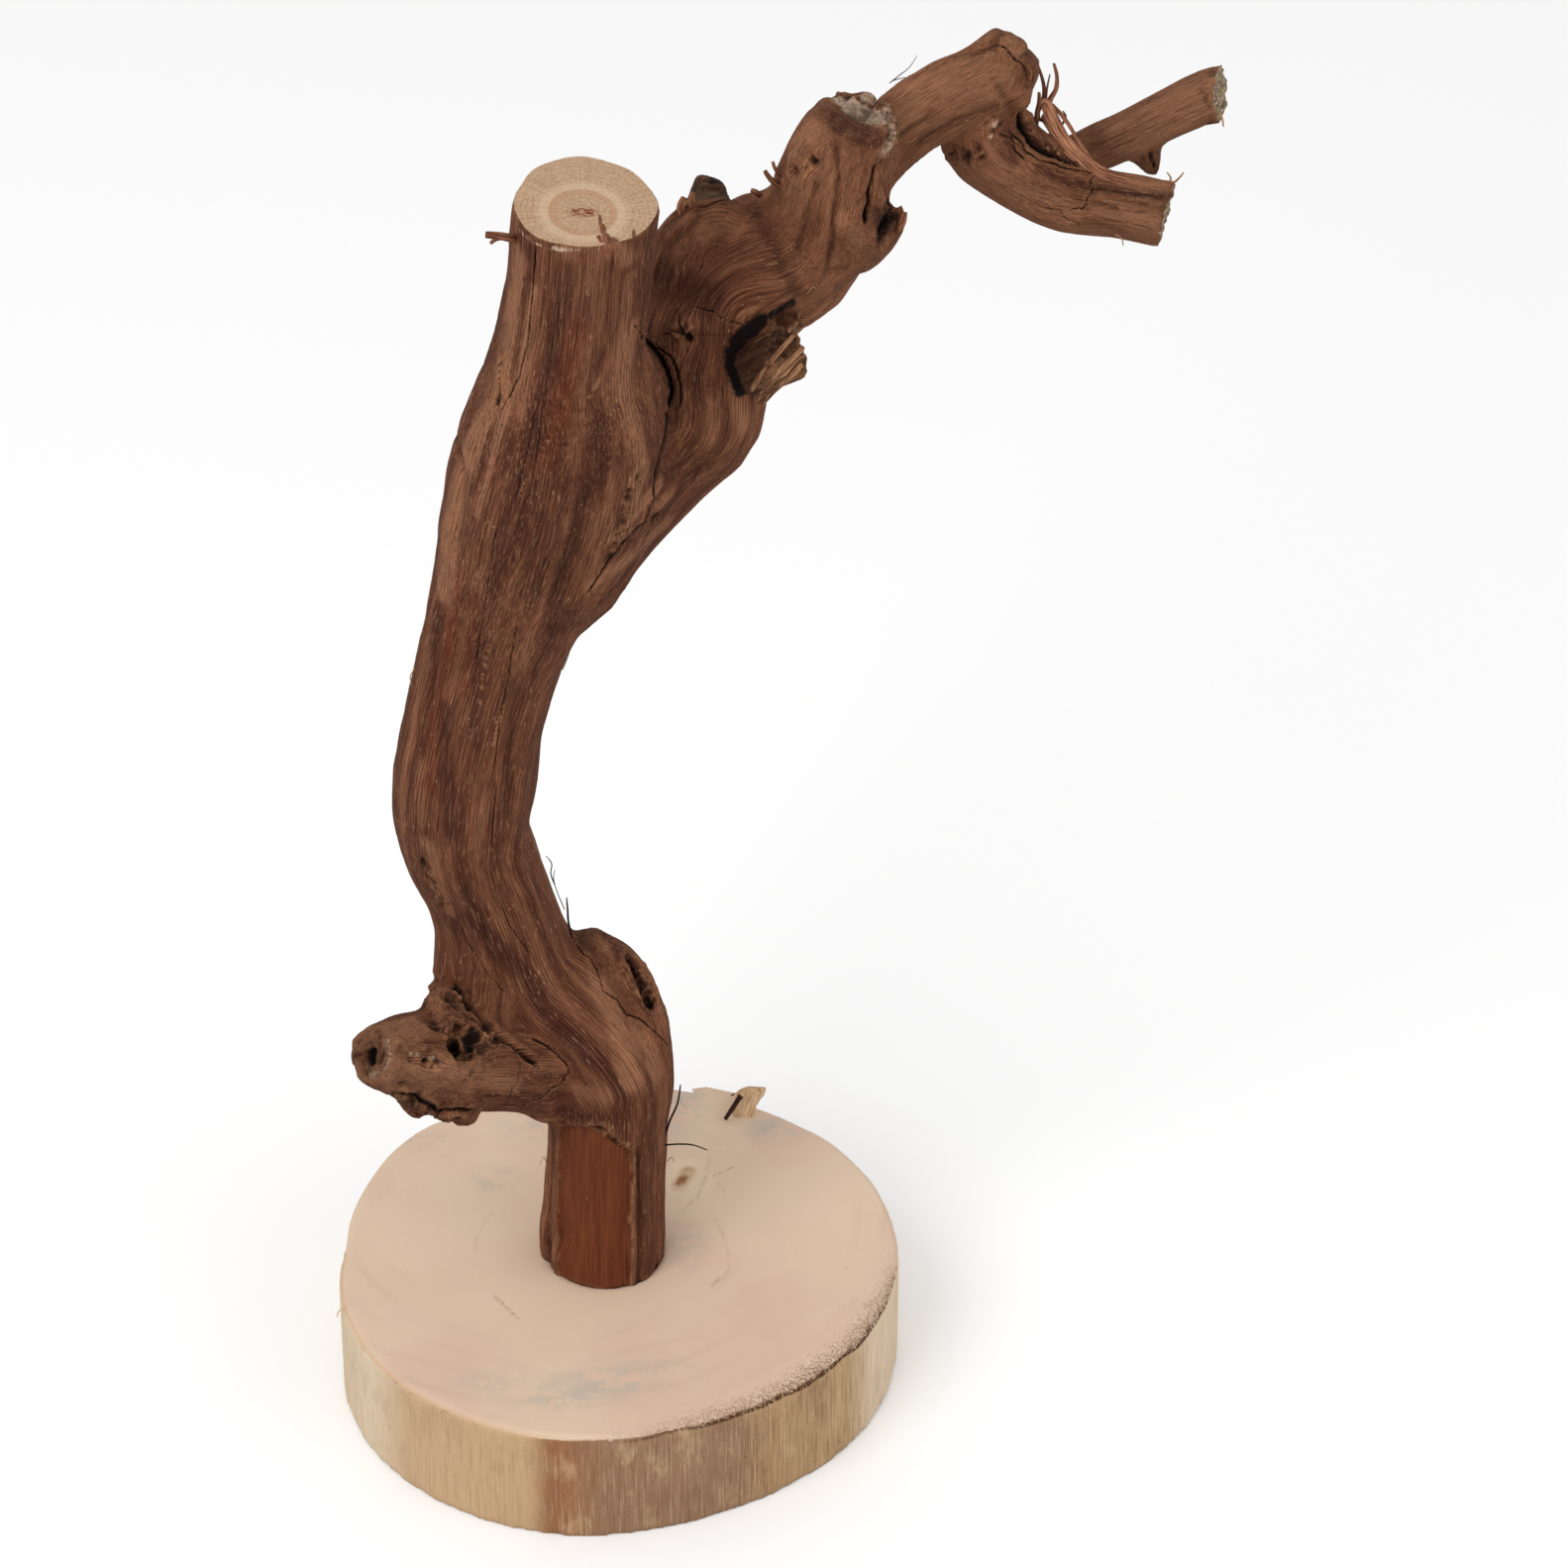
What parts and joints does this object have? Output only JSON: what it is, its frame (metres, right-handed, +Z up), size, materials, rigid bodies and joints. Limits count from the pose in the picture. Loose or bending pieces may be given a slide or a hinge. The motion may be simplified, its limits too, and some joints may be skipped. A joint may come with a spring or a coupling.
{
  "type": "tabletop bird perch",
  "caption": "Tabletop bird perch: a gnarled forked vine branch with a long arm and twig, stood upright in a socket in a thick sawn wooden slice.",
  "frame": {"origin": "on the fixing screw's axis, in the plane of the slice's underside, which rests on the table", "axes": "+Z up along the screw, +X the way the long arm reaches, -Y the front, towards which the sawn stem top leans"},
  "size_m": [0.1858, 0.1228, 0.3039],
  "materials": {
    "slice_wood": "sawn, dry and unvarnished",
    "bark": "matt fibrous bark, sawn pale at the ends",
    "zinc_steel": "bright zinc plate"
  },
  "bodies": {
    "root": {"base_slice": "slice_wood", "branch": "bark", "fixing_screw": "zinc_steel", "screw_washer": "zinc_steel"}
  },
  "joints": []
}
